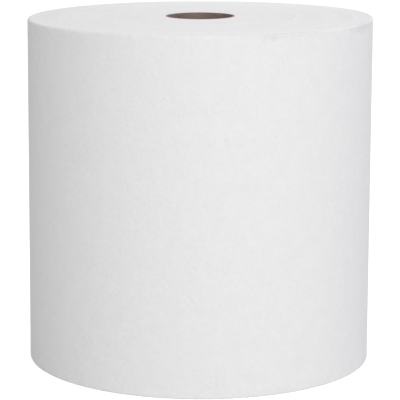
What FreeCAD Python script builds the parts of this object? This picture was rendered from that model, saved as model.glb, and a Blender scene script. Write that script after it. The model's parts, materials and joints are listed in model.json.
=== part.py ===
# Hard-wound paper towel roll: one long creped web wound on a spiral-wound paperboard core.
#
# The roll stands on one sawn end. Z is the winding axis and z = 0 is the plane that the roll
# rests on. The side that is seen from the front faces -Y, and the cut end of the web lies at
# the back. Millimetres throughout.
#
# The turns are drawn as a two-centre spiral. Each half turn is a true circular arc, and the
# arc centres lie a quarter of the growth to either side of the winding axis, so that each half
# turn runs smoothly into the next one further out. The wall grows that way by one sheet up to
# the cut end of the web, and so does the groove that shows the turns on both sawn ends.

import FreeCAD
import Part
import os
import Sketcher
from collections import namedtuple

# Driving sizes, one spreadsheet cell each: alias, value, meaning.
SIZES = (
    ("web_width", 203.2, "width of the web, which is the height of the standing roll"),
    ("roll_diameter", 203.0, "across the full roll, measured at the cut end of the web"),
    ("sheet_thickness", 0.2, "one creped sheet where nothing presses on it"),
    ("rim_bevel", 0.8, "crushed corner between the wall and a sawn end"),
    ("tail_azimuth", 118.0, "degrees from +X to the cut end of the web"),
    ("core_bore", 38.1, "inside the paperboard core"),
    ("ply_thickness", 0.4, "one ply of the core's paperboard"),
    ("ply_count", 3, "plies glued into the core's wall"),
    ("seam_pitch", 100.0, "rise of the core's ply seam in one turn"),
    ("seam_gap", 0.8, "gap between the edges of the innermost ply"),
    ("turn_pitch", 8.0, "growth of the groove in one turn"),
    ("first_turn", 3.2, "from the core to the start of the groove"),
    ("last_turn", 1.6, "least distance from the end of the groove to the wall"),
    ("groove_width", 0.7, "groove's mouth in the sawn end"),
    ("groove_depth", 0.4, "groove's depth in the sawn end"),
)

CUTTER_LEAD = 1.0  # how far a cutting section stands clear of the surface that it enters

# One half turn of a spiral. side is the arc centre's side of the winding axis along X,
# quarters is how much larger than the turn's first radius the arc is, in quarters of the
# growth, and reverse is whether the half turn is swept from the turn's end.
HalfTurn = namedtuple("HalfTurn", "name side quarters reverse")
HALF_TURNS = (HalfTurn("inner", -1, 1, False), HalfTurn("outer", 1, 3, True))


class Size:
    """A number together with the spreadsheet formula that gives it."""

    def __init__(self, value, formula):
        self.value = value
        self.formula = formula

    @staticmethod
    def of(number):
        """Wrap a plain number, and leave a size as it is."""
        return number if isinstance(number, Size) else Size(number, str(number))

    def __add__(self, other):
        other = Size.of(other)
        return Size(self.value + other.value, f"({self.formula} + {other.formula})")

    def __sub__(self, other):
        other = Size.of(other)
        return Size(self.value - other.value, f"({self.formula} - {other.formula})")

    def __mul__(self, other):
        other = Size.of(other)
        return Size(self.value * other.value, f"({self.formula} * {other.formula})")

    def __truediv__(self, other):
        other = Size.of(other)
        return Size(self.value / other.value, f"({self.formula} / {other.formula})")


class Sizes:
    """The driving sizes in their spreadsheet, and the sizes that follow from them."""

    def __init__(self, doc):
        sheet = doc.addObject("Spreadsheet::Sheet", "sizes")
        for row, (alias, value, meaning) in enumerate(SIZES, start=1):
            sheet.set(f"A{row}", meaning)
            sheet.set(f"B{row}", str(value))
            sheet.setAlias(f"B{row}", alias)
            setattr(self, alias, Size(value, f"sizes.{alias}"))
        doc.recompute()

    def core_radius(self):
        """Outside of the core, which is also the inside of the wound web."""
        return self.core_bore / 2 + self.ply_count * self.ply_thickness

    def wall_radius(self, half):
        """Arc radius of the wall over one half of the outermost turn."""
        return self.roll_diameter / 2 - self.sheet_thickness * (4 - half.quarters) / 4

    def groove_radius(self, turn, half):
        """Arc radius of the groove over one half of a turn, counted from the core."""
        start = self.core_radius() + self.first_turn
        return start + self.turn_pitch * (turn + half.quarters / 4)

    def groove_turns(self):
        """How many whole turns of the groove fit between the core and the wall."""
        start = self.core_radius() + self.first_turn
        room = self.roll_diameter / 2 - self.last_turn - start
        return int(room.value / self.turn_pitch.value)


def point(across, along):
    """A point of a sketch."""
    return FreeCAD.Vector(across, along, 0)


def make_body(doc, label):
    """Add an empty body with its label."""
    body = doc.addObject("PartDesign::Body", label)
    body.Label = label
    return body


def add_sketch(body, name, plane):
    """Attach a sketch to one of the body's own origin planes, found by its role."""
    sketch = body.newObject("Sketcher::SketchObject", name)
    support = next(item for item in body.Origin.OriginFeatures if item.Role == plane)
    sketch.AttachmentSupport = [(support, "")]
    sketch.MapMode = "FlatFace"
    return sketch


def add_half_turn_sketch(body, name, half, growth):
    """Attach a sketch through the winding axis, moved onto the half turn's arc centre."""
    sketch = add_sketch(body, f"{half.name}_{name}", "XZ_Plane")
    shift = growth * half.side / 4
    sketch.setExpression("AttachmentOffset.Base.x", shift.formula)
    return sketch


def bind(sketch, name, kind, elements, size):
    """Dimension some elements of a sketch and bind the dimension to the size's formula."""
    index = sketch.addConstraint(Sketcher.Constraint(kind, *elements, size.value))
    sketch.renameConstraint(index, name)
    sketch.setExpression(f"Constraints.{name}", size.formula)


def add_polygon(sketch, corners):
    """Draw a closed outline through the corners and give its first line's number."""
    ends = corners[1:] + corners[:1]
    lines = [Part.LineSegment(*pair) for pair in zip(corners, ends)]
    numbers = list(sketch.addGeometry(lines, False))
    following = numbers[1:] + numbers[:1]
    for line, after in zip(numbers, following):
        sketch.addConstraint(Sketcher.Constraint("Coincident", line, 2, after, 1))
    return numbers[0]


def align(sketch, **directions):
    """Make lines of a sketch horizontal or vertical."""
    for direction, lines in directions.items():
        for line in lines:
            sketch.addConstraint(Sketcher.Constraint(direction, line))


def add_circle(sketch, name, radius):
    """Draw a circle about the winding axis."""
    circle = Part.Circle(point(0, 0), FreeCAD.Vector(0, 0, 1), radius.value)
    index = sketch.addGeometry(circle, False)
    sketch.addConstraint(Sketcher.Constraint("Coincident", index, 3, -1, 1))
    bind(sketch, name, "Radius", (index,), radius)


def revolve(body, kind, name, sketch, half):
    """Sweep a sketch half a turn about its own vertical axis, adding or cutting."""
    feature = body.newObject(f"PartDesign::{kind}", f"{half.name}_{name}")
    feature.Profile = sketch
    feature.ReferenceAxis = (sketch, ["V_Axis"])
    feature.Angle = 180.0
    feature.Reversed = half.reverse


def draw_roll_section(sketch, sizes, half):
    """Draw the wound web from the winding axis out to the wall, with its bevelled corners."""
    radius = sizes.wall_radius(half)
    height = sizes.web_width
    bevel = sizes.rim_bevel
    corners = [
        point(0, 0),
        point(radius.value - bevel.value, 0),
        point(radius.value, bevel.value),
        point(radius.value, height.value - bevel.value),
        point(radius.value - bevel.value, height.value),
        point(0, height.value),
    ]
    add_polygon(sketch, corners)
    sketch.addConstraint(Sketcher.Constraint("Coincident", 0, 1, -1, 1))
    align(sketch, Horizontal=(0, 4), Vertical=(2, 5))
    bind(sketch, "wall", "DistanceX", (-1, 1, 1, 2), radius)
    bind(sketch, "height", "DistanceY", (5, 2, 5, 1), height)
    bind(sketch, "bevel_across", "DistanceX", (1, 1, 1, 2), bevel)
    bind(sketch, "bevel_along", "DistanceY", (1, 1, 1, 2), bevel)
    bind(sketch, "far_bevel_across", "DistanceX", (3, 2, 3, 1), bevel)
    bind(sketch, "far_bevel_along", "DistanceY", (3, 1, 3, 2), bevel)


def draw_groove_section(sketch, sizes, turn, half):
    """Draw one turn of the groove as a V in each sawn end."""
    radius = sizes.groove_radius(turn, half)
    depth = sizes.groove_depth
    mouth_width = sizes.groove_width * (Size.of(CUTTER_LEAD) / depth + 1)
    ends = (
        ("low", Size.of(-CUTTER_LEAD), depth),
        ("high", sizes.web_width + CUTTER_LEAD, sizes.web_width - depth),
    )
    for end, mouth, apex in ends:
        left = point(radius.value - mouth_width.value / 2, mouth.value)
        right = point(radius.value + mouth_width.value / 2, mouth.value)
        line = add_polygon(sketch, [left, right, point(radius.value, apex.value)])
        align(sketch, Horizontal=(line,))
        sketch.addConstraint(Sketcher.Constraint("Equal", line + 1, line + 2))
        bind(sketch, f"{end}_mouth_{turn}", "DistanceY", (-1, 1, line, 1), mouth)
        bind(sketch, f"{end}_width_{turn}", "DistanceX", (line, 1, line, 2), mouth_width)
        bind(sketch, f"{end}_apex_{turn}", "DistanceY", (-1, 1, line + 1, 2), apex)
        bind(sketch, f"{end}_radius_{turn}", "DistanceX", (-1, 1, line + 1, 2), radius)


def make_paper_roll(doc, sizes):
    """Build the wound web: two half turns of wall, the core's seat and the turns' groove."""
    body = make_body(doc, "paper_roll")
    for half in HALF_TURNS:
        section = add_half_turn_sketch(body, "wall_section", half, sizes.sheet_thickness)
        draw_roll_section(section, sizes, half)
        revolve(body, "Revolution", "wall", section, half)
    doc.recompute()

    seat = add_sketch(body, "core_seat_section", "XY_Plane")
    add_circle(seat, "seat", sizes.core_radius())
    pocket = body.newObject("PartDesign::Pocket", "core_seat")
    pocket.Profile = seat
    pocket.Type = "ThroughAll"
    pocket.Midplane = True
    doc.recompute()

    for half in HALF_TURNS:
        section = add_half_turn_sketch(body, "groove_section", half, sizes.turn_pitch)
        for turn in range(sizes.groove_turns()):
            draw_groove_section(section, sizes, turn, half)
        revolve(body, "Groove", "groove", section, half)

    body.Placement.Rotation.Axis = FreeCAD.Vector(0, 0, 1)
    body.setExpression("Placement.Rotation.Angle", sizes.tail_azimuth.formula)
    doc.recompute()
    return body


def make_core_tube(doc, sizes):
    """Build the core: a tube of glued plies, with the open seam of its innermost ply."""
    body = make_body(doc, "core_tube")
    ring = add_sketch(body, "tube_section", "XY_Plane")
    add_circle(ring, "outside", sizes.core_radius())
    add_circle(ring, "bore", sizes.core_bore / 2)
    tube = body.newObject("PartDesign::Pad", "tube")
    tube.Profile = ring
    tube.setExpression("Length", sizes.web_width.formula)
    doc.recompute()

    gap = add_sketch(body, "seam_section", "XZ_Plane")
    inside = sizes.core_bore / 2 - CUTTER_LEAD
    depth = sizes.ply_thickness + CUTTER_LEAD
    below = sizes.seam_gap + CUTTER_LEAD
    outside = inside + depth
    top = sizes.seam_gap - below
    corners = [
        point(inside.value, -below.value),
        point(outside.value, -below.value),
        point(outside.value, top.value),
        point(inside.value, top.value),
    ]
    add_polygon(gap, corners)
    align(gap, Horizontal=(0, 2), Vertical=(1, 3))
    bind(gap, "inside", "DistanceX", (-1, 1, 0, 1), inside)
    bind(gap, "depth", "DistanceX", (0, 1, 0, 2), depth)
    bind(gap, "below", "DistanceY", (0, 1, -1, 1), below)
    bind(gap, "gap", "DistanceY", (1, 1, 1, 2), sizes.seam_gap)
    seam = body.newObject("PartDesign::SubtractiveHelix", "ply_seam")
    seam.Profile = gap
    seam.ReferenceAxis = (gap, ["V_Axis"])
    seam.setExpression("Pitch", sizes.seam_pitch.formula)
    seam.setExpression("Height", (sizes.web_width + below + CUTTER_LEAD).formula)
    doc.recompute()
    return body


def check_and_write(doc, bodies):
    """Stop on a failed object or a bad shape, then write one STEP file for each body."""
    for item in doc.Objects:
        if "Invalid" in item.State or "Error" in item.State:
            raise RuntimeError(f"{item.Label} is {item.State}")
    os.makedirs("parts", exist_ok=True)
    for body in bodies:
        shape = body.Shape
        if shape.isNull() or not shape.isValid() or len(shape.Solids) != 1:
            raise RuntimeError(f"{body.Label} is not one valid solid")
        shape.exportStep(f"parts/{body.Label}.step")
        print(f"{body.Label}: {len(shape.Faces)} faces, {shape.Volume:.0f} mm3")


def main():
    """Build the document and write its pieces."""
    doc = FreeCAD.newDocument("paper_towel_roll")
    sizes = Sizes(doc)
    bodies = [make_paper_roll(doc, sizes), make_core_tube(doc, sizes)]
    check_and_write(doc, bodies)


main()
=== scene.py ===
"""Looks of a hard-wound paper towel roll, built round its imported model.

Two pieces stand for the model's two solids: the wound web and its paperboard core. Each is one
closed surface on a grid of two parameters, the angle round the winding axis and the way along
a closed section. The pieces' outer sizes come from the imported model's boxes. Lengths are in
metres, and what is given in millimetres, such as the grain of a finish, has a name that ends in
_mm.
"""

from __future__ import annotations

import json
import logging
import math
from collections.abc import Mapping, Sequence
from dataclasses import dataclass, field
from enum import Enum, IntEnum

import bpy
import numpy as np
from mathutils import Matrix, Vector

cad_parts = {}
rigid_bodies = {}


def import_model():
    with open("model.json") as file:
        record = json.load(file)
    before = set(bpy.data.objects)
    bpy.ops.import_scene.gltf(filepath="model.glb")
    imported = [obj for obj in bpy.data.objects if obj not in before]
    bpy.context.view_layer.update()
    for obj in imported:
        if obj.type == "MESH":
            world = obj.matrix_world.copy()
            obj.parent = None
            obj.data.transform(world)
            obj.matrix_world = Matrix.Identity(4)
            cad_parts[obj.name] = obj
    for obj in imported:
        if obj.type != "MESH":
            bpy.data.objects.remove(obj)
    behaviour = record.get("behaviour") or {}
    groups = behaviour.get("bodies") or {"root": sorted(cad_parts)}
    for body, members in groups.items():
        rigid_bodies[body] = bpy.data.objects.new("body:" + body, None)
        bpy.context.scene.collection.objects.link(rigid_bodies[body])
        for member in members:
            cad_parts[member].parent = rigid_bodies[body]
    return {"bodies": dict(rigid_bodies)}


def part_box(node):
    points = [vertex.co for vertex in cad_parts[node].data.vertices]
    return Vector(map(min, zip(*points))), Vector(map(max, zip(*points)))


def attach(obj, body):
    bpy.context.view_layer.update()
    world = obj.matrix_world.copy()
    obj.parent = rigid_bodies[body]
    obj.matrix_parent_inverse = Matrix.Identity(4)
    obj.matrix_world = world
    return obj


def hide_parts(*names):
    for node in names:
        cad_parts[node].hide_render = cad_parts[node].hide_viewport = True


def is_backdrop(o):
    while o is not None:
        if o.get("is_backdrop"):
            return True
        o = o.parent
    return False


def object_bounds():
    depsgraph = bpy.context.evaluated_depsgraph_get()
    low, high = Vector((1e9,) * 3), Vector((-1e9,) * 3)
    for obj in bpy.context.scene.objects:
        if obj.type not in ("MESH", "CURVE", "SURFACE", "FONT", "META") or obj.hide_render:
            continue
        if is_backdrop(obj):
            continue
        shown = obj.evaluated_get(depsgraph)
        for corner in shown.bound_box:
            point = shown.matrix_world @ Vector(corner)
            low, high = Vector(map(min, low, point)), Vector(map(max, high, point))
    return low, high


LOG = logging.getLogger("paper_towel_roll")
MM = 0.001
TURN = 2 * math.pi

WALL_GAP = 0.04 * MM  # from the wall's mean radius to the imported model's
CORE_GAP = 0.03 * MM  # from the core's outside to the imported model's
SHINE = 0.12  # specular level of uncoated paper and board
NOISE_MIDDLE = 0.5  # what a noise node gives on average
COSINE_VARIANCE = 0.5  # the mean square of a cosine

Tint = tuple[float, float, float]
Colour = tuple[float, float, float, float]
PLAIN_WHITE: Tint = (1.0, 1.0, 1.0)
WARM_WHITE: Tint = (1.0, 1.0, 0.98)
SKY_BLUE: Tint = (0.4, 0.4, 1.0)
WHITE: Colour = (1.0, 1.0, 1.0, 1.0)


class Slot(Enum):
    """The record's material slots."""

    PAPER = "towel_paper"
    BOARD = "core_board"


class Side(IntEnum):
    """Which finish a strip of a section wears, as the index of its material."""

    ROUND = 0
    CUT = 1


@dataclass(frozen=True)
class Grain:
    """The grain of a noise pattern: its size along three directions, and its finer octaves."""

    sizes_mm: tuple[float, float, float]
    octaves: float


class Signal:
    """What a node puts out, so that shader maths is written as an expression."""

    def __init__(self, graph: NodeGraph, socket: bpy.types.NodeSocket) -> None:
        """Wrap a socket.

        Args:
            graph: The nodes that the socket belongs to.
            socket: An output socket.
        """
        self.graph = graph
        self.socket = socket

    def __add__(self, other: Signal | float) -> Signal:
        """Return self + other."""
        return self.graph.maths("ADD", self, other)

    def __radd__(self, other: float) -> Signal:
        """Return other + self."""
        return self.graph.maths("ADD", other, self)

    def __sub__(self, other: Signal | float) -> Signal:
        """Return self - other."""
        return self.graph.maths("SUBTRACT", self, other)

    def __rsub__(self, other: float) -> Signal:
        """Return other - self."""
        return self.graph.maths("SUBTRACT", other, self)

    def __mul__(self, other: Signal | float) -> Signal:
        """Return self * other."""
        return self.graph.maths("MULTIPLY", self, other)

    def __rmul__(self, other: float) -> Signal:
        """Return other * self."""
        return self.graph.maths("MULTIPLY", other, self)

    def __truediv__(self, other: Signal | float) -> Signal:
        """Return self / other."""
        return self.graph.maths("DIVIDE", self, other)

    def __rtruediv__(self, other: float) -> Signal:
        """Return other / self."""
        return self.graph.maths("DIVIDE", other, self)

    def __abs__(self) -> Signal:
        """Return the distance from zero."""
        return self.graph.maths("ABSOLUTE", self)


Value = Signal | float | Sequence[float]


def shade(colour: Colour, by: float) -> Colour:
    """Return a colour made lighter or darker by a factor."""
    red, green, blue, alpha = colour
    return (red * by, green * by, blue * by, alpha)


class NodeGraph:
    """The nodes of one material or world, made by a few named methods.

    MIX_INPUTS are a Mix node's factor and its two colours, and MIX_OUTPUT is the mixed colour.
    """

    MIX_INPUTS = (0, 6, 7)
    MIX_OUTPUT = 2

    def __init__(self, tree: bpy.types.NodeTree) -> None:
        """Empty a node tree and take it over.

        Args:
            tree: The node tree of a material or a world.
        """
        tree.nodes.clear()
        self.tree = tree

    def node(
        self,
        kind: str,
        settings: Mapping[str, object] | None = None,
        inputs: Mapping[str | int, Value] | None = None,
    ) -> bpy.types.Node:
        """Add a node.

        Args:
            kind: The node's type.
            settings: Its properties, which are set first.
            inputs: Values or links for its sockets, by name or number.

        Returns:
            The node.
        """
        made = self.tree.nodes.new(kind)
        for name, setting in (settings or {}).items():
            setattr(made, name, setting)
        for name, value in (inputs or {}).items():
            if isinstance(value, Signal):
                self.tree.links.new(value.socket, made.inputs[name])
            else:
                made.inputs[name].default_value = value
        return made

    def output(self, node: bpy.types.Node, name: str | int = 0) -> Signal:
        """Return one output of a node."""
        return Signal(self, node.outputs[name])

    def maths(self, operation: str, *values: Signal | float) -> Signal:
        """Return the result of a Math node."""
        node = self.node("ShaderNodeMath", {"operation": operation}, dict(enumerate(values)))
        return self.output(node)

    def vector(self, operation: str, *values: Value) -> Signal:
        """Return the vector result of a Vector Math node."""
        kind, inputs = "ShaderNodeVectorMath", dict(enumerate(values))
        return self.output(self.node(kind, {"operation": operation}, inputs), "Vector")

    def length(self, vector: Signal) -> Signal:
        """Return a vector's length."""
        node = self.node("ShaderNodeVectorMath", {"operation": "LENGTH"}, {0: vector})
        return self.output(node, "Value")

    def place_mm(self) -> Signal:
        """Return the place on the object, in millimetres."""
        return self.in_mm(self.output(self.node("ShaderNodeTexCoord"), "Object"))

    def chart_mm(self, name: str) -> Signal:
        """Return the place on one of the piece's own UV maps, in millimetres."""
        return self.in_mm(self.output(self.node("ShaderNodeUVMap", {"uv_map": name})))

    def in_mm(self, vector: Signal) -> Signal:
        """Return a vector that is in metres in millimetres."""
        return self.vector("MULTIPLY", vector, (1 / MM,) * 3)

    def level(self, place: Signal) -> Signal:
        """Return the way from the winding axis to a place, without its height."""
        return self.vector("MULTIPLY", place, (1.0, 1.0, 0.0))

    def split(self, vector: Signal) -> tuple[Signal, Signal, Signal]:
        """Return a vector's three parts."""
        node = self.node("ShaderNodeSeparateXYZ", inputs={0: vector})
        return self.output(node, 0), self.output(node, 1), self.output(node, 2)

    def noise(self, place: Signal, grain: Grain) -> Signal:
        """Return smooth noise, from 0 to 1 about its middle.

        Args:
            place: Where on the surface, in millimetres.
            grain: The noise's grain.

        Returns:
            The noise. Each octave has half the strength of the one before.
        """
        scaled = self.vector("MULTIPLY", place, tuple(1 / size for size in grain.sizes_mm))
        inputs = {"Vector": scaled, "Scale": 1.0, "Detail": grain.octaves, "Roughness": 0.5}
        return self.output(self.node("ShaderNodeTexNoise", inputs=inputs))

    def ramp(self, value: Signal, low: float, high: float) -> Signal:
        """Return a smooth rise of a value.

        Args:
            value: What rises.
            low: Where the rise starts, at 0.
            high: Where it ends, at 1.

        Returns:
            0 below low, 1 above high, and the smooth rise between.
        """
        inputs = {"Value": value, "From Min": low, "From Max": high}
        settings = {"interpolation_type": "SMOOTHSTEP"}
        return self.output(self.node("ShaderNodeMapRange", settings, inputs))

    def mix(self, factor: Signal, low: Signal | Colour, high: Signal | Colour) -> Signal:
        """Return the colour that lies between two colours."""
        inputs = dict(zip(self.MIX_INPUTS, (factor, low, high)))
        return self.output(self.node("ShaderNodeMix", {"data_type": "RGBA"}, inputs), self.MIX_OUTPUT)

    def tinted(self, tone: Signal, colour: Colour, contrast: float) -> Signal:
        """Return a colour, darker by the contrast where the tone is 0 and lighter where it is 1."""
        return self.mix(tone, shade(colour, 1 - contrast), shade(colour, 1 + contrast))

    def bump(self, height_mm: Signal) -> Signal:
        """Return the normal of a surface raised by a height in millimetres."""
        inputs = {"Height": height_mm, "Distance": MM, "Strength": 1.0}
        return self.output(self.node("ShaderNodeBump", inputs=inputs))

    def finish(self, surface: Signal) -> None:
        """Link a shader to the material's output."""
        self.node("ShaderNodeOutputMaterial", inputs={"Surface": surface})

    def matt(self, label: str, colour: Signal, height_mm: Signal, roughness: float) -> None:
        """Finish the material as an uncoated surface with very little shine.

        Args:
            label: The shader node's label.
            colour: The surface's colour.
            height_mm: How high the surface is raised, in millimetres.
            roughness: The surface's roughness.
        """
        inputs = {
            "Base Color": colour,
            "Normal": self.bump(height_mm),
            "Roughness": roughness,
            "Specular IOR Level": SHINE,
        }
        shader = self.node("ShaderNodeBsdfPrincipled", {"label": label}, inputs)
        self.finish(self.output(shader))


def new_material(name: str) -> tuple[bpy.types.Material, NodeGraph]:
    """Make an empty material.

    Args:
        name: The material's name.

    Returns:
        The material and its nodes.
    """
    material = bpy.data.materials.new(name)
    material.use_nodes = True
    return material, NodeGraph(material.node_tree)


@dataclass(frozen=True)
class DarkPatch:
    """A soft grey patch close under the upper end: small ones are darker spots, broad ones painted
    shade.

    azimuth is in degrees from +X towards +Y, and strength is its share of the grey colour at its
    middle.
    """

    azimuth: float
    rise_mm: float
    half_width_mm: float
    half_height_mm: float
    strength: float

    def soil_and_shade(self, graph: NodeGraph, place: Signal, reach_mm: float) -> Signal:
        """Return the patch's share of the grey colour, which fades from its middle to its edge.

        Args:
            graph: The material's nodes.
            place: The place on the roll, in millimetres.
            reach_mm: The wall's radius.

        Returns:
            The share of the grey colour.
        """
        heading = math.radians(self.azimuth)
        middle = (reach_mm * math.cos(heading), reach_mm * math.sin(heading), self.rise_mm)
        shape = (1 / self.half_width_mm, 1 / self.half_width_mm, 1 / self.half_height_mm)
        off = graph.vector("MULTIPLY", graph.vector("SUBTRACT", place, middle), shape)
        return (1 - graph.ramp(graph.length(off), 0.0, 1.0)) * self.strength


@dataclass(frozen=True)
class CrepedWeb:
    """Bleached towel paper as it lies on the roll's wall.

    Fine crepe folds run along the roll's height, because the web is creped across its length.
    They stand out most in patches close to a sawn end, where the saw opened them. Sparse grey
    flecks lie all over the wall. Close under its upper end lie two small darker spots and two
    broad patches of painted shade.

    chart names the piece's UV map, whose second coordinate runs along the section, and
    wall_start_mm and wall_length_mm say where the straight wall lies on it. Each pattern has a
    grain, the depth of its relief and its share in the colour's tone. The tone is lighter where
    the relief is raised: for the folds it is painted shade in their creases, and for the mottle
    and cloud painted shade in their hollows over the paper's own uneven tone. fleck_rise and
    rim_rise are the values of noise between which the flecks and the opened patches come up.
    """

    chart: str
    reach_mm: float
    wall_start_mm: float
    wall_length_mm: float
    colour: Colour = (0.86, 0.86, 0.864, 1.0)
    # grey for the flecks and the small spots, and for the painted shade of the broad patches
    soil_and_shade: Colour = (0.3, 0.3, 0.32, 1.0)
    fold: Grain = Grain((0.9, 6.0, 1.0), 1.0)
    fold_depth_mm: float = 0.055
    fold_painted_shade: float = 0.2
    mottle: Grain = Grain((2.4, 2.7, 1.0), 1.0)
    mottle_depth_mm: float = 0.15
    mottle_tone_and_shade: float = 0.4
    cloud: Grain = Grain((8.0, 11.0, 1.0), 2.0)
    cloud_depth_mm: float = 0.28
    cloud_tone_and_shade: float = 0.4
    fleck: Grain = Grain((2.6, 2.2, 1.0), 0.0)
    fleck_rise: tuple[float, float] = (0.74, 0.84)
    fleck_soil: float = 0.06
    rim_reach_mm: float = 9.0
    rim_rise: tuple[float, float] = (0.45, 0.6)
    rim_gain: float = 2.5
    contrast: float = 0.068
    roughness: float = 0.9
    dark_patches: tuple[DarkPatch, ...] = (
        # two small darker spots just under the rim
        DarkPatch(-71.8, 199.5, 2.6, 2.6, 0.1),
        DarkPatch(-68.8, 200.2, 3.8, 3.2, 0.12),
        # painted shade: one broad patch dims the rim's highlight on the front right, the other
        # darkens the wall under the rim at the right end
        DarkPatch(-64.0, 202.0, 48.0, 3.5, 0.1),
        DarkPatch(-26.0, 201.6, 28.0, 6.0, 0.13),
    )

    def material(self) -> bpy.types.Material:
        """Make the finish.

        Returns:
            The material.
        """
        material, graph = new_material("creped_web")
        chart = graph.chart_mm(self.chart)
        folds = graph.noise(chart, self.fold)
        mottle = graph.noise(chart, self.mottle)
        cloud = graph.noise(chart, self.cloud)
        flecks = graph.ramp(graph.noise(chart, self.fleck), *self.fleck_rise)
        _, way, _ = graph.split(chart)
        half = self.wall_length_mm / 2
        past = abs(way - (self.wall_start_mm + half)) - half
        rim = graph.ramp(past, -self.rim_reach_mm, 0.0)
        gain = 1 + rim * graph.ramp(cloud, *self.rim_rise) * self.rim_gain
        height = folds * self.fold_depth_mm * gain
        height = height + mottle * self.mottle_depth_mm + cloud * self.cloud_depth_mm
        # painted shade: the tone is darker where the folds, mottle and cloud lie low, and near the
        # ends the folds' shade grows with their relief
        tone = mottle * self.mottle_tone_and_shade + cloud * self.cloud_tone_and_shade
        tone = tone + (folds - NOISE_MIDDLE) * gain * self.fold_painted_shade + NOISE_MIDDLE * self.fold_painted_shade
        place = graph.place_mm()
        # Grey comes in at the flecks and the small spots, and as painted shade at the broad patches.
        soil_and_shade_share = flecks * self.fleck_soil
        for dark_patch in self.dark_patches:
            soil_and_shade_share = soil_and_shade_share + dark_patch.soil_and_shade(graph, place, self.reach_mm)
        paper = graph.mix(soil_and_shade_share, graph.tinted(tone, self.colour, self.contrast), self.soil_and_shade)
        graph.matt("creped paper", paper, height, self.roughness)
        return material


@dataclass(frozen=True)
class SawnTurns:
    """The sawn ends of the wound turns, as fine uneven rings with faint marks of the saw.

    Rings of three mean widths lie over each other. Each pattern has a depth of its relief,
    where that shows, and its share in the colour's tone. around scales the heading that the
    rings' noise reads, so the larger it is, the quicker they change round the axis.
    """

    reach_mm: float
    colour: Colour = (0.911, 0.911, 0.905, 1.0)
    fine_mm: float = 0.4
    fine_depth_mm: float = 0.05
    fine_tone: float = 0.3
    middle_mm: float = 1.3
    middle_depth_mm: float = 0.06
    middle_tone: float = 0.35
    broad_mm: float = 5.0
    broad_tone: float = 0.25
    around: tuple[float, float, float] = (-1.6, 1.6, 1.6)
    ring: Grain = Grain((1.0, 1.0, 1.0), 1.0)
    saw: Grain = Grain((1.6, 60.0, 1.0), 1.0)
    saw_depth_mm: float = 0.02
    saw_tone: float = 0.1
    ring_sheen_tone: float = 0.15
    contrast: float = 0.13
    roughness: float = 0.95

    def ring_sheen(self, graph: NodeGraph, place: Signal) -> Signal:
        """Return the painted sheen of the turns: lighter towards the front and back, darker at the
        sides.

        It stands in for the light that the ring grooves catch at the front and the back, and for
        the shade at the two sides, most near the wall. The value is the square of the way along Y
        less the square of the way along X, over the square of the reach.

        Args:
            graph: The material's nodes.
            place: The place on the roll, in millimetres.

        Returns:
            The value, from -1 to 1.
        """
        across, deep, _ = graph.split(place)
        return (deep * deep - across * across) / self.reach_mm**2

    def rings(self, graph: NodeGraph, place: Signal, width_mm: float) -> Signal:
        """Return noise that is ring-shaped: quick along the radius and slow round the axis.

        Args:
            graph: The material's nodes.
            place: The place on the roll, in millimetres.
            width_mm: The rings' mean width.

        Returns:
            The noise, from 0 to 1 about its middle.
        """
        level = graph.level(place)
        heading = graph.vector("MULTIPLY", graph.vector("NORMALIZE", level), self.around)
        out = graph.node("ShaderNodeCombineXYZ", inputs={"Z": graph.length(level) / width_mm})
        return graph.noise(graph.vector("ADD", heading, graph.output(out)), self.ring)

    def material(self) -> bpy.types.Material:
        """Make the finish.

        Returns:
            The material.
        """
        material, graph = new_material("sawn_turns")
        place = graph.place_mm()
        fine = self.rings(graph, place, self.fine_mm)
        middle = self.rings(graph, place, self.middle_mm)
        broad = self.rings(graph, place, self.broad_mm)
        saw = graph.noise(place, self.saw)
        height = fine * self.fine_depth_mm + middle * self.middle_depth_mm
        height = height + saw * self.saw_depth_mm
        tone = fine * self.fine_tone + middle * self.middle_tone + broad * self.broad_tone
        # painted sheen and shade: lighter towards the front and back, darker at the sides
        tone = tone + saw * self.saw_tone + self.ring_sheen(graph, place) * self.ring_sheen_tone
        paper = graph.tinted(tone, self.colour, self.contrast)
        graph.matt("sawn paper", paper, height, self.roughness)
        return material


@dataclass(frozen=True)
class KraftBoard:
    """Uncoated kraft board inside the core, with fibres laid along the wound ply.

    pitch_mm is the rise of the ply in one turn. Broad blotches lie over the fibres, and the
    place in their noise that falls on the origin is set so that a darker blotch lies at the left
    of the bore's far side, as seen from the front: painted shade there, over the board's own
    blotchy tone.
    """

    pitch_mm: float
    colour: Colour = (0.272, 0.196, 0.173, 1.0)
    fibre: Grain = Grain((1.6, 1.6, 9.0), 3.0)
    fibre_depth_mm: float = 0.03
    fibre_tone: float = 0.5
    blotch: Grain = Grain((11.0, 11.0, 20.0), 1.0)
    blotch_and_shade_start_mm: tuple[float, float, float] = (41.0, 48.0, 0.0)
    blotch_and_shade_tone: float = 0.5
    contrast: float = 0.6
    roughness: float = 0.85

    def material(self) -> bpy.types.Material:
        """Make the finish.

        Returns:
            The material.
        """
        material, graph = new_material("kraft_board")
        place = graph.place_mm()
        _, _, rise = graph.split(place)
        turned = rise * (-TURN / self.pitch_mm)
        settings = {"rotation_type": "Z_AXIS"}
        unwound = graph.node("ShaderNodeVectorRotate", settings, {"Vector": place, "Angle": turned})
        fibres = graph.noise(graph.output(unwound), self.fibre)
        # painted shade: the start puts a darker blotch at the left of the bore's far side
        blotches = graph.noise(graph.vector("ADD", place, self.blotch_and_shade_start_mm), self.blotch)
        tone = fibres * self.fibre_tone + blotches * self.blotch_and_shade_tone
        board = graph.tinted(tone, self.colour, self.contrast)
        graph.matt("kraft board", board, fibres * self.fibre_depth_mm, self.roughness)
        return material


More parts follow.
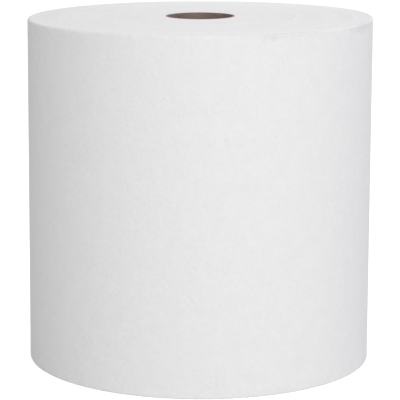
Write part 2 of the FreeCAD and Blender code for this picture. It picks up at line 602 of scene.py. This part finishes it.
@dataclass(frozen=True)
class CutBoard:
    """The sawn end of the core: the edges of its glued plies, lighter than the board's face.

    Between the plies lie dark glue lines, which fade over glue_mm to either side and waver by
    a share of a ply.
    """

    bore_mm: float
    ply_mm: float
    colour: Colour = (0.43, 0.345, 0.315, 1.0)
    glue: Colour = (0.22, 0.16, 0.13, 1.0)
    glue_mm: float = 0.1
    glue_depth_mm: float = 0.03
    fuzz: Grain = Grain((0.25, 0.25, 0.25), 2.0)
    fuzz_depth_mm: float = 0.06
    waver: float = 0.3
    contrast: float = 0.25
    roughness: float = 0.95

    def material(self) -> bpy.types.Material:
        """Make the finish.

        Returns:
            The material.
        """
        material, graph = new_material("cut_board")
        place = graph.place_mm()
        radius = graph.length(graph.level(place))
        fuzz = graph.noise(place, self.fuzz)
        wavering = fuzz * self.waver - NOISE_MIDDLE * self.waver
        plies = (radius - self.bore_mm) / self.ply_mm + wavering
        off_glue = abs(plies - graph.maths("ROUND", plies)) * self.ply_mm
        clear = graph.ramp(off_glue, 0.0, self.glue_mm)
        board = graph.mix(clear, self.glue, graph.tinted(fuzz, self.colour, self.contrast))
        height = fuzz * self.fuzz_depth_mm + clear * self.glue_depth_mm
        graph.matt("cut board", board, height, self.roughness)
        return material


@dataclass
class RingSurface:
    """A closed surface: columns round the winding axis, and rows along a closed section."""

    name: str
    places: np.ndarray
    chart: np.ndarray
    sides: np.ndarray

    def build(self, chart_name: str, materials: Sequence[bpy.types.Material]) -> bpy.types.Object:
        """Put the surface into a mesh object.

        Each grid cell is a quad from a column and a row to the next ones, and the last column
        and the last row join the first ones.

        Args:
            chart_name: The name of the UV map that takes the chart, which is in metres.
            materials: One material for each side, in order.

        Returns:
            The mesh object, at the origin.
        """
        columns, rows = self.places.shape[:2]
        here = np.arange(columns * rows).reshape(columns, rows)
        along = np.roll(here, -1, axis=1)
        across = np.roll(here, -1, axis=0)
        corner = np.roll(along, -1, axis=0)
        quads = np.stack([here, along, corner, across], axis=-1)
        corners = quads.shape[-1]
        chart = np.stack(
            [self.chart[:-1, :-1], self.chart[:-1, 1:], self.chart[1:, 1:], self.chart[1:, :-1]],
            axis=2,
        )
        count = columns * rows
        mesh = bpy.data.meshes.new(self.name)
        mesh.vertices.add(count)
        mesh.vertices.foreach_set("co", self.places.ravel())
        mesh.loops.add(corners * count)
        mesh.loops.foreach_set("vertex_index", quads.ravel())
        mesh.polygons.add(count)
        mesh.polygons.foreach_set("loop_start", np.arange(0, corners * count, corners))
        mesh.polygons.foreach_set("material_index", np.tile(self.sides, columns))
        mesh.polygons.foreach_set("use_smooth", np.ones(count, bool))
        mesh.uv_layers.new(name=chart_name).data.foreach_set("uv", chart.ravel())
        mesh.update()
        mesh.validate()
        for material in materials:
            mesh.materials.append(material)
        made = bpy.data.objects.new(self.name, mesh)
        bpy.context.scene.collection.objects.link(made)
        return made


@dataclass
class Section:
    """Rows of a closed section, each placed between an inner and an outer radius.

    A row's radius is the inner one plus its share of the way to the outer one plus its offset.
    out and up are the parts of its unit normal, and side is its finish.
    """

    share: np.ndarray
    offset: np.ndarray
    rise: np.ndarray
    out: np.ndarray
    up: np.ndarray
    side: np.ndarray

    @staticmethod
    def straight(
        start: Sequence[float],
        end: Sequence[float],
        normal: Sequence[float],
        steps: int,
        side: Side,
    ) -> Section:
        """Return a straight run without its last point.

        Args:
            start: Share, offset and rise of its first point.
            end: Share, offset and rise of its end.
            normal: The outward and upward parts of its normal.
            steps: How many rows it has.
            side: Its finish.

        Returns:
            The run.
        """
        way = np.linspace(0, 1, steps, endpoint=False)[:, None]
        share, offset, rise = (np.array(start) * (1 - way) + np.array(end) * way).T
        out, up = (np.full(steps, part) for part in normal)
        return Section(share, offset, rise, out, up, np.full(steps, int(side)))

    @staticmethod
    def corner(
        centre: Sequence[float], radius: float, angles: Sequence[float], steps: int, side: Side
    ) -> Section:
        """Return a quarter round without its last point.

        Its points lie at the radius from the centre, at angles from the outward direction
        towards up.

        Args:
            centre: Share, offset and rise of its centre.
            radius: Its radius.
            angles: Its first and last angle, in degrees.
            steps: How many rows it has.
            side: Its finish.

        Returns:
            The quarter round.
        """
        angle = np.radians(np.linspace(*angles, steps, endpoint=False))
        share, offset, rise = centre
        out, up = np.cos(angle), np.sin(angle)
        shares = np.full(steps, share)
        sides = np.full(steps, int(side))
        return Section(shares, offset + radius * out, rise + radius * up, out, up, sides)

    @staticmethod
    def join(runs: Sequence[Section]) -> Section:
        """Return the runs put one after the other."""
        names = ("share", "offset", "rise", "out", "up", "side")
        return Section(*(np.concatenate([getattr(run, name) for run in runs]) for name in names))

    def radius(self, inner: float, outer: np.ndarray | float) -> np.ndarray:
        """Return the radius of each row, between an inner and an outer radius."""
        return inner + (outer - inner) * self.share + self.offset


def rounds(angle: np.ndarray, radius: np.ndarray, rise: np.ndarray) -> np.ndarray:
    """Return places at angles and radii round the winding axis.

    Args:
        angle: One angle for each column.
        radius: A radius for each column and row.
        rise: A height for each column and row.

    Returns:
        Columns by rows by three coordinates: radius times cosine, radius times sine, height.
    """
    around = angle[:, None]
    return np.stack([radius * np.cos(around), radius * np.sin(around), rise], axis=-1)


def chart_of(angle: np.ndarray, radius: float, section: Section, width: float) -> np.ndarray:
    """Return a chart of the surface: arc length round the wall, and way along the section.

    Args:
        angle: One angle for each column, from the seam.
        radius: The wall's radius.
        section: The section's rows.
        width: The outer radius less the inner one.

    Returns:
        Columns plus one by rows plus one by two coordinates, in metres.
    """
    across, rise = section.share * width + section.offset, section.rise
    steps = np.hypot(np.diff(across, append=across[0]), np.diff(rise, append=rise[0]))
    way = np.concatenate([[0.0], np.cumsum(steps)])
    arc = np.append(angle, TURN) * radius
    return np.stack(np.meshgrid(arc, way, indexing="ij"), axis=-1)


def ripple(
    place: np.ndarray, periods: np.ndarray, draw: np.random.Generator, fall: float = 0.5
) -> np.ndarray:
    """Return an uneven wave with a standard deviation of one.

    It is a sum of cosines of the given periods, each with a phase of its own and a strength
    that is its period to the power of fall.

    Args:
        place: Where the wave is wanted.
        periods: The periods, in the same units.
        draw: The source of the phases.
        fall: The power that sets the strengths.

    Returns:
        The wave's height at each place.
    """
    phases = draw.uniform(0, TURN, periods.size)
    strengths = periods**fall
    waves = strengths * np.cos(TURN * place[..., None] / periods + phases)
    return waves.sum(axis=-1) / math.sqrt((strengths**2).sum() * COSINE_VARIANCE)


@dataclass(frozen=True)
class TopCut:
    """How the saw left the roll's upper end: out of square, crowned, and raised at one side.

    Each departure is under 0.7 mm, and all together are under 1.6 mm. reach is the roll's radius
    at which they are given.
    """

    reach: float
    height: float
    top: float = 0.503 * MM
    tilt: float = 0.448 * MM
    crown: float = 0.638 * MM
    curl: float = 0.688 * MM

    def settled(self, places: np.ndarray) -> np.ndarray:
        """Return places let down to the cut, in full at the upper end and not at all at the base.

        The cut lies below the square end by top, less tilt for each reach towards +X, plus crown
        times the square of the distance from the axis over the reach. On the +X side it comes up
        again by curl times the fourth power of the way towards +X over the reach.

        Args:
            places: Places of a piece with a square upper end.

        Returns:
            The places on the piece as cut.
        """
        across, deep, rise = np.moveaxis(places, -1, 0)
        square = (across**2 + deep**2) / self.reach**2
        raised = self.curl * np.clip(across / self.reach, 0, None) ** 4
        below = self.top - self.tilt * across / self.reach + self.crown * square - raised
        return np.stack([across, deep, rise - below * rise / self.height], axis=-1)


@dataclass
class WoundWeb:
    """The wound web: one closed surface over its bore, its sawn ends and its wall.

    The wall is a spiral that grows by one sheet in its turn, so it has a step where the web is
    cut off, at the back of the roll.

    reach is the wall's mean radius at the base, which the taper takes from towards the upper
    end, and seat is the radius of the bore, where the core is glued in. rim, foot and lip are
    the radii of the rounded corners. The fields from first_turn on shape the sawn ends, those
    from wave_depth on the wall, and those from tail_lift on the web's cut end. headroom is how
    many standard deviations a ripple or wave may rise before the surface cuts it flat, and
    wave_lean is how far a wave's phase may turn over the height, in radians. beside gives the
    angles between the cut end and its nearest columns, in degrees.
    """

    cut: TopCut
    reach: float
    seat: float
    height: float
    tail_azimuth: float = math.radians(118.0)
    sheet: float = 0.2 * MM
    rim: float = 1.4 * MM
    foot: float = 0.75 * MM
    taper: float = 0.5 * MM
    lip: float = 0.25 * MM
    first_turn: float = 3.2 * MM
    turn_pitch: float = 8.0 * MM
    turn_count: int = 9
    turn_depth: float = 0.035 * MM
    turn_width: float = 0.45 * MM
    ring_depth: float = 0.012 * MM
    ring_periods_mm: tuple[float, float] = (1.7, 11.0)
    ring_waves: int = 12
    ring_swings: int = 2
    swing_stretch: float = 6.0
    wave_depth: float = 0.025 * MM
    wave_counts: tuple[int, int] = (3, 44)
    wave_fall: float = 0.8
    wave_lean: float = 1.5
    headroom: float = 2.0
    tail_lift: float = 0.06 * MM
    tail_reach: float = 9.0 * MM
    tail_step: float = math.radians(0.12)
    beside: tuple[float, ...] = (0.0, 0.08, 0.25, 0.7)
    seed: int = 11
    columns: int = 228
    rows: Mapping[str, int] = field(
        default_factory=lambda: {"bore": 5, "lip": 4, "top": 200, "rim": 8, "wall": 72, "base": 108}
    )
    node: str = "paper_roll"
    slot: Slot = Slot.PAPER

    @staticmethod
    def from_model() -> WoundWeb:
        """Take the web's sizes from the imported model.

        The mean radius is a quarter of the sum of the model's two widths.

        Returns:
            The web.
        """
        low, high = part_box("paper_roll")
        _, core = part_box("core_tube")
        reach = (high.x - low.x + high.y - low.y) / 4 - WALL_GAP
        height = high.z - low.z
        return WoundWeb(TopCut(reach, height), reach, core.x, height)

    def section(self) -> Section:
        """Lay out the closed section: up the bore, out over the top, down the wall and back.

        Returns:
            The section.
        """
        low_lip = (0.0, self.lip, self.lip)
        high_lip = (0.0, self.lip, self.height - self.lip)
        high_rim = (1.0, -self.rim, self.height - self.rim)
        low_rim = (1.0, -self.foot, self.foot)
        rows = self.rows
        top = (0.0, self.lip, self.height), (1.0, -self.rim, self.height)
        base = (1.0, -self.foot, 0.0), (0.0, self.lip, 0.0)
        wall = (1.0, 0.0, self.height - self.rim), (1.0, 0.0, self.foot)
        bore = (0.0, 0.0, self.lip), (0.0, 0.0, self.height - self.lip)
        return Section.join(
            [
                Section.straight(*bore, (-1.0, 0.0), rows["bore"], Side.CUT),
                Section.corner(high_lip, self.lip, (180, 90), rows["lip"], Side.CUT),
                Section.straight(*top, (0.0, 1.0), rows["top"], Side.CUT),
                Section.corner(high_rim, self.rim, (90, 0), rows["rim"], Side.ROUND),
                Section.straight(*wall, (1.0, 0.0), rows["wall"], Side.ROUND),
                Section.corner(low_rim, self.foot, (0, -90), rows["rim"], Side.ROUND),
                Section.straight(*base, (0.0, -1.0), rows["base"], Side.CUT),
                Section.corner(low_lip, self.lip, (270, 180), rows["lip"], Side.CUT),
            ]
        )

    def angles(self) -> np.ndarray:
        """Lay out the columns, closer together beside the cut end of the web.

        Returns:
            Their angles from the cut end.
        """
        beside = np.radians(self.beside)
        last = TURN - self.tail_step
        between = np.linspace(beside[-1], last - beside[-1], self.columns)[1:-1]
        return np.concatenate([beside, between, last - beside[::-1]])

    def end_relief(
        self, angle: np.ndarray, radius: np.ndarray, draw: np.random.Generator
    ) -> np.ndarray:
        """Return how deep a sawn end lies below its plane.

        The spiral line between turns is a soft groove whose radius grows by the turn pitch in
        one turn. To it come two ripples of the radius, of which one grows as the other fades, a
        few times round the roll. They never rise above the plane.

        Args:
            angle: One angle for each column, from the cut end of the web.
            radius: A radius for each column and row.
            draw: The source of the ripples' phases.

        Returns:
            The depth for each column and row.
        """
        turned = angle[:, None] / TURN
        turn = (radius - self.seat - self.first_turn) / self.turn_pitch - turned
        nearest = np.clip(np.round(turn), 0, self.turn_count - 1)
        away = (turn - nearest) * self.turn_pitch
        groove = self.turn_depth * np.exp(-((away / self.turn_width) ** 2))
        periods = np.geomspace(*self.ring_periods_mm, self.ring_waves) * MM
        drift = ripple(radius, periods * self.swing_stretch, draw)
        swing = (1 + np.cos(self.ring_swings * angle[:, None] + drift)) / 2
        rings = ripple(radius, periods, draw) * swing + ripple(radius, periods, draw) * (1 - swing)
        return groove + self.ring_depth * np.clip(self.headroom + rings, 0, None)

    def wall_relief(
        self, angle: np.ndarray, rise: np.ndarray, draw: np.random.Generator
    ) -> np.ndarray:
        """Return how deep the wall lies inside its spiral.

        Soft upright waves run round the wall, each a whole number of times in a turn and leaning
        a little over the roll's height. A wave's strength is that number to the power of minus
        its fall. The last stretch of web before its cut end stands out by the tail's lift, and
        the rest lies that much lower.

        Args:
            angle: One angle for each column, from the cut end of the web.
            rise: A height for each row.
            draw: The source of the waves' phases and leans.

        Returns:
            The depth for each column and row.
        """
        counts = np.arange(*self.wave_counts)
        phases = draw.uniform(0, TURN, counts.size)
        leans = draw.uniform(-self.wave_lean, self.wave_lean, counts.size) / self.height
        strengths = counts**-self.wave_fall
        around = angle[:, None, None] * counts + phases
        waves = (strengths * np.cos(around + rise[None, :, None] * leans)).sum(axis=-1)
        waves = waves / math.sqrt((strengths**2).sum() * COSINE_VARIANCE)
        short = (TURN - angle) * self.reach / self.tail_reach
        lifted = np.exp(-(short**2))[:, None]
        waves = np.clip(self.headroom + waves, 0, None)
        return self.wave_depth * waves + self.tail_lift * (1 - lifted)

    def build(self) -> bpy.types.Object:
        """Build the web and dress it.

        The wall's radius is half a sheet less than the reach at the web's cut end, and half a
        sheet more after one turn.

        Returns:
            The dressed piece.
        """
        draw = np.random.default_rng(self.seed)
        section = self.section()
        angle = self.angles()
        outer = self.reach + self.sheet * (angle[:, None] / TURN - 0.5)
        radius = section.radius(self.seat, outer - self.taper * section.rise / self.height)
        end = self.end_relief(angle, radius, draw)
        wall = self.wall_relief(angle, section.rise, draw)
        outside = section.share == 1.0
        depth = section.up**2 * end + np.where(outside, section.out**2, 0.0) * wall
        chart = chart_of(angle, self.reach, section, self.reach - self.seat)
        wall_row = sum(self.rows[part] for part in ("bore", "lip", "top", "rim"))
        wall_start, wall_end = chart[0, [wall_row, wall_row + self.rows["wall"]], 1] / MM
        radius, rise = radius - depth * section.out, section.rise - depth * section.up
        places = self.cut.settled(rounds(angle + self.tail_azimuth, radius, rise))
        surface = RingSurface("towel_web", places, chart, section.side)
        paper = CrepedWeb("web", self.reach / MM, float(wall_start), float(wall_end - wall_start))
        return surface.build("web", [paper.material(), SawnTurns(self.reach / MM).material()])


@dataclass
class CoreTube:
    """The spiral-wound paperboard core, with the open seam of its innermost ply.

    outer is its radius outside and lip the radius of its rounded corners. The seam is a gap that
    is one ply deep, with edges that slope over seam_edge. Inside rows lie closer together by
    seam_crowding within seam_spread times the gap, and are placed on a fine ladder of rungs.
    """

    cut: TopCut
    outer: float
    height: float
    bore: float = 19.05 * MM
    ply: float = 0.4 * MM
    seam_pitch: float = 100.0 * MM
    seam_gap: float = 0.8 * MM
    seam_azimuth: float = math.radians(5.04)
    seam_edge: float = 0.12 * MM
    seam_crowding: float = 14.0
    seam_spread: float = 1.5
    rungs: int = 4000
    lip: float = 0.12 * MM
    columns: int = 260
    rows: Mapping[str, int] = field(
        default_factory=lambda: {"inside": 170, "lip": 3, "end": 8, "outside": 5}
    )
    node: str = "core_tube"
    slot: Slot = Slot.BOARD

    @staticmethod
    def from_model() -> CoreTube:
        """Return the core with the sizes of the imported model."""
        low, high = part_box("core_tube")
        return CoreTube(WoundWeb.from_model().cut, high.x - CORE_GAP, high.z - low.z)

    def section(self) -> Section:
        """Lay out the closed section: up the bore, out over the end, down outside and back.

        Returns:
            The section.
        """
        lip, height, rows = self.lip, self.height, self.rows
        inside = (0.0, 0.0, lip), (0.0, 0.0, height - lip)
        high_end = (0.0, lip, height), (1.0, -lip, height)
        outside = (1.0, 0.0, height - lip), (1.0, 0.0, lip)
        low_end = (1.0, -lip, 0.0), (0.0, lip, 0.0)
        return Section.join(
            [
                Section.straight(*inside, (-1.0, 0.0), rows["inside"], Side.ROUND),
                Section.corner((0.0, lip, height - lip), lip, (180, 90), rows["lip"], Side.CUT),
                Section.straight(*high_end, (0.0, 1.0), rows["end"], Side.CUT),
                Section.corner((1.0, -lip, height - lip), lip, (90, 0), rows["lip"], Side.CUT),
                Section.straight(*outside, (1.0, 0.0), rows["outside"], Side.CUT),
                Section.corner((1.0, -lip, lip), lip, (0, -90), rows["lip"], Side.CUT),
                Section.straight(*low_end, (0.0, -1.0), rows["end"], Side.CUT),
                Section.corner((0.0, lip, lip), lip, (270, 180), rows["lip"], Side.CUT),
            ]
        )

    def off_seam(self, angle: np.ndarray, rise: np.ndarray) -> np.ndarray:
        """Return the height above the nearest turn of the seam.

        The seam climbs by its pitch in one turn, so the height above it, in turns, is the rise
        over the pitch less the angle over a full turn, and the nearest turn is that rounded.

        Args:
            angle: One angle for each column.
            rise: A height for each column and row.

        Returns:
            The signed distance along the axis.
        """
        turn = rise / self.seam_pitch - (angle[:, None] - self.seam_azimuth) / TURN
        return (turn - np.round(turn)) * self.seam_pitch

    def crowded(self, angle: np.ndarray) -> np.ndarray:
        """Return the inside's heights, closer together beside the seam.

        A density that is one, and rises by the crowding near the seam, is added up over the
        height. The rows lie where the sum passes equal shares.

        Args:
            angle: One angle for each column.

        Returns:
            The heights for each column and inside row.
        """
        fine = np.linspace(self.lip, self.height - self.lip, self.rungs)
        away = self.off_seam(angle, np.broadcast_to(fine, (angle.size, fine.size)))
        near = np.exp(-((away / (self.seam_spread * self.seam_gap)) ** 2))
        density = 1 + self.seam_crowding * near
        total = np.cumsum(density, axis=1)
        total = (total - total[:, :1]) / (total[:, -1:] - total[:, :1])
        wanted = np.linspace(0, 1, self.rows["inside"], endpoint=False)
        return np.stack([np.interp(wanted, column, fine) for column in total])

    def build(self) -> bpy.types.Object:
        """Build the core and dress it.

        Returns:
            The dressed piece.
        """
        section = self.section()
        angle = np.linspace(0, TURN, self.columns, endpoint=False)
        rise = np.tile(section.rise, (angle.size, 1))
        inside = self.rows["inside"]
        rise[:, :inside] = self.crowded(angle)
        off = np.abs(self.off_seam(angle, rise)) - self.seam_gap / 2
        open_seam = np.clip(0.5 - off / self.seam_edge, 0, 1)
        open_seam[:, inside:] = 0.0
        radius = section.radius(self.bore, self.outer) + self.ply * open_seam
        chart = chart_of(angle, self.bore, section, self.outer - self.bore)
        places = self.cut.settled(rounds(angle, radius, rise))
        surface = RingSurface("paperboard_core", places, chart, section.side)
        finishes = [
            KraftBoard(self.seam_pitch / MM).material(),
            CutBoard(self.bore / MM, self.ply / MM).material(),
        ]
        return surface.build("board", finishes)


@dataclass(frozen=True)
class Lamp:
    """A soft square lamp aimed at the middle of the roll.

    azimuth is measured from the viewer's side towards the right, in degrees, and level is how
    bright a white surface facing the lamp becomes, where 1 is white.
    """

    name: str
    azimuth: float
    elevation: float
    level: float
    colour: Tint
    distance: float = 2.4
    size: float = 1.3

    def build(self, target: Vector) -> None:
        """Add the lamp.

        A square lamp's radiance is its power over pi times its area, and a surface facing it
        gets that radiance times the area over the distance squared. A white surface sends back
        1/pi of this, so the power for a level is level times pi squared times the distance
        squared.

        Args:
            target: The point it is aimed at.
        """
        data = bpy.data.lights.new(self.name, "AREA")
        data.shape = "SQUARE"
        data.size = self.size
        data.color = self.colour
        data.energy = self.level * math.pi**2 * self.distance**2
        lamp = bpy.data.objects.new(self.name, data)
        around, up = math.radians(self.azimuth), math.radians(self.elevation)
        flat = math.cos(up)
        way = Vector((flat * math.sin(around), -flat * math.cos(around), math.sin(up)))
        lamp.location = target + way * self.distance
        lamp.rotation_euler = way.to_track_quat("Z", "Y").to_euler()
        lamp.visible_camera = False
        bpy.context.scene.collection.objects.link(lamp)


@dataclass(frozen=True)
class Studio:
    """A plain pale floor, soft even light all round and a few soft lamps.

    middle is half the roll's height, where the lamps are aimed. ambient is the level of the
    light all round, and floor_glow is what the floor adds to show white where it is lit.
    """

    middle: float
    ambient: float = 0.6
    ambient_colour: Tint = (0.986, 0.983, 1.0)
    floor_colour: Colour = (0.62, 0.62, 0.62, 1.0)
    floor_glow: float = 0.72
    floor_size: float = 12.0
    lamps: tuple[Lamp, ...] = (
        Lamp("front", 0.0, 15.0, 0.265, WARM_WHITE),
        Lamp("key", 30.0, 20.0, 0.165, WARM_WHITE),
        Lamp("side", 90.0, 55.0, 0.062, PLAIN_WHITE, distance=0.9, size=0.5),
        Lamp("fill", 100.0, 10.0, 0.026, SKY_BLUE),
        Lamp("back", 150.0, 40.0, 0.188, PLAIN_WHITE, distance=1.4, size=0.8),
    )

    @staticmethod
    def seen(graph: NodeGraph) -> Signal:
        """Tell rays that show the background itself from those that light things.

        Args:
            graph: The nodes of the world or a material.

        Returns:
            1 on rays that show the background, also in gloss and through glass, and 0 on others.
        """
        rays = graph.node("ShaderNodeLightPath")
        names = ("Is Camera Ray", "Is Glossy Ray", "Is Transmission Ray")
        camera, glossy, through = (graph.output(rays, name) for name in names)
        return graph.maths("MINIMUM", camera + glossy + through, 1.0)

    def world(self) -> None:
        """Light the scene evenly, and show white behind it."""
        world = bpy.data.worlds.new("studio")
        world.use_nodes = True
        bpy.context.scene.world = world
        graph = NodeGraph(world.node_tree)
        light = shade((*self.ambient_colour, 1.0), self.ambient)
        inputs = {"Color": graph.mix(self.seen(graph), light, WHITE), "Strength": 1.0}
        background = graph.output(graph.node("ShaderNodeBackground", inputs=inputs))
        graph.node("ShaderNodeOutputWorld", inputs={"Surface": background})

    def floor(self) -> None:
        """Add the floor, a flat sheet that shows white where nothing shades it."""
        half = self.floor_size / 2
        corners = [(-half, -half, 0.0), (half, -half, 0.0), (half, half, 0.0), (-half, half, 0.0)]
        mesh = bpy.data.meshes.new("studio_floor")
        mesh.from_pydata(corners, [], [(0, 1, 2, 3)])
        material, graph = new_material("studio_floor")
        inputs = {"Color": self.floor_colour}
        diffuse = graph.output(graph.node("ShaderNodeBsdfDiffuse", inputs=inputs))
        glow = self.seen(graph) * self.floor_glow
        inputs = {"Color": WHITE, "Strength": glow}
        emission = graph.output(graph.node("ShaderNodeEmission", inputs=inputs))
        both = graph.node("ShaderNodeAddShader", inputs={0: diffuse, 1: emission})
        graph.finish(graph.output(both))
        mesh.materials.append(material)
        floor = bpy.data.objects.new("studio_floor", mesh)
        bpy.context.scene.collection.objects.link(floor)
        floor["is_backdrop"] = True

    def build(self) -> None:
        """Add the world, the floor and the lamps."""
        self.world()
        self.floor()
        for lamp in self.lamps:
            lamp.build(Vector((0.0, 0.0, self.middle)))


@dataclass(frozen=True)
class Viewpoint:
    """The camera: where it stands, where it looks and how long its lens is.

    Its angles are in radians, and its lens and sensor in millimetres.
    """

    place: tuple[float, float, float] = (-0.0427, -1.1514, 0.3176)
    pitch: float = 0.1926
    yaw: float = 0.0374
    roll: float = 0.0046
    lens_mm: float = 177.49
    sensor_mm: float = 36.0

    def build(self) -> None:
        """Add the camera and make it the scene's.

        It looks towards +Y, turned to the right by its yaw, tilted down by its pitch, and
        turned about its own line of sight by its roll.
        """
        camera = bpy.data.cameras.new("camera")
        camera.lens = self.lens_mm
        camera.sensor_width = self.sensor_mm
        placed = bpy.data.objects.new("camera", camera)
        turn = Matrix.Rotation(-self.yaw, 4, "Z")
        tilt = Matrix.Rotation(math.pi / 2 - self.pitch, 4, "X")
        spin = Matrix.Rotation(self.roll, 4, "Z")
        placed.matrix_world = Matrix.Translation(self.place) @ turn @ tilt @ spin
        bpy.context.scene.collection.objects.link(placed)
        bpy.context.scene.camera = placed


def main() -> None:
    """Build and dress the pieces, light them and place the camera."""
    logging.basicConfig(level=logging.INFO, format="%(name)s: %(message)s")
    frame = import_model()
    model_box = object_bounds()
    body = next(iter(frame["bodies"]))
    for part in (WoundWeb.from_model(), CoreTube.from_model()):
        piece = part.build()
        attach(piece, body)
        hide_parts(part.node)
        LOG.info("%s: %d faces", piece.name, len(piece.data.polygons))
    Studio(middle=model_box[1].z / 2).build()
    Viewpoint().build()
    bpy.context.scene.view_settings.view_transform = "Standard"


if __name__ == "__main__":
    main()
